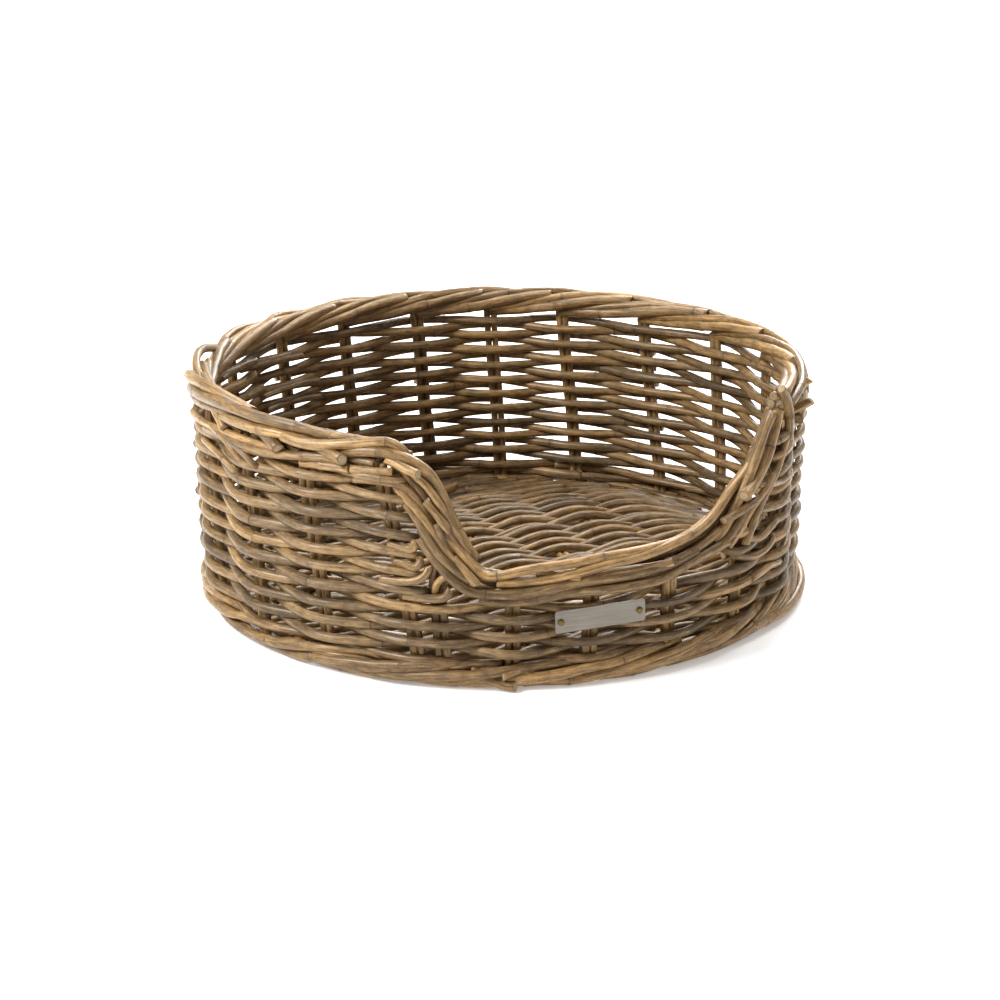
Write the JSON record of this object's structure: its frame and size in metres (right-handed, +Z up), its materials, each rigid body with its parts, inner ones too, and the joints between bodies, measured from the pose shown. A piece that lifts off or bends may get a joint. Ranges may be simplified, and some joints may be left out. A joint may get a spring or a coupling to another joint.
{
  "type": "wicker pet bed basket",
  "caption": "Low round wicker basket for a pet's bed, woven from rattan rods on paired stakes, with plaited rim and foot and a dipped front entry with a blank metal plate.",
  "frame": {"origin": "on the floor, at the middle of the footprint", "axes": "+X across the basket, its longest way, with the entry facing -Y; +Z up"},
  "size_m": [0.512, 0.5022, 0.1903],
  "materials": {
    "rattan_stake": "round grey-brown rattan rod, satin, darker than the weaving",
    "rattan_weaver": "grey-brown rattan rod, satin bark with fine cross cracks, dark node rings and a soft gloss",
    "rattan_border": "thick tan to grey-brown rattan rod, satin, with pale cut ends",
    "rattan_base": "grey-brown rattan rod, satin, slightly duller than the wall",
    "plate_metal": "brushed, slightly warm, rounded corners, blank",
    "brass_nail": "aged domed brass head"
  },
  "bodies": {
    "root": {"foot_border": "rattan_border", "rim_border": "rattan_border", "entry_border": "rattan_border", "stake_pair_01": "rattan_stake", "stake_pair_02": "rattan_stake", "stake_pair_03": "rattan_stake", "stake_pair_04": "rattan_stake", "stake_pair_05": "rattan_stake", "stake_pair_06": "rattan_stake", "stake_pair_07": "rattan_stake", "stake_pair_08": "rattan_stake", "stake_pair_09": "rattan_stake", "stake_pair_10": "rattan_stake", "stake_pair_11": "rattan_stake", "stake_pair_12": "rattan_stake", "stake_pair_13": "rattan_stake", "stake_pair_14": "rattan_stake", "stake_pair_15": "rattan_stake", "stake_pair_16": "rattan_stake", "stake_pair_17": "rattan_stake", "stake_pair_18": "rattan_stake", "stake_pair_19": "rattan_stake", "stake_pair_20": "rattan_stake", "weaver_row_01": "rattan_weaver", "weaver_row_02": "rattan_weaver", "weaver_row_03": "rattan_weaver", "weaver_row_04": "rattan_weaver", "weaver_row_05": "rattan_weaver", "weaver_row_06": "rattan_weaver", "weaver_row_07": "rattan_weaver", "weaver_row_08": "rattan_weaver", "weaver_row_09": "rattan_weaver", "weaver_row_10": "rattan_weaver", "weaver_row_11": "rattan_weaver", "weaver_row_12": "rattan_weaver", "weaver_row_13": "rattan_weaver", "weaver_row_14": "rattan_weaver", "weaver_row_15": "rattan_weaver", "weaver_row_16": "rattan_weaver", "weaver_row_17": "rattan_weaver", "weaver_row_18": "rattan_weaver", "weaver_row_19": "rattan_weaver", "weaver_row_20": "rattan_weaver", "base_stick_01": "rattan_stake", "base_stick_02": "rattan_stake", "base_stick_03": "rattan_stake", "base_stick_04": "rattan_stake", "base_stick_05": "rattan_stake", "base_stick_06": "rattan_stake", "base_stick_07": "rattan_stake", "base_mat": "rattan_base", "name_plate": "plate_metal", "nail_left": "brass_nail", "nail_right": "brass_nail"}
  },
  "joints": []
}
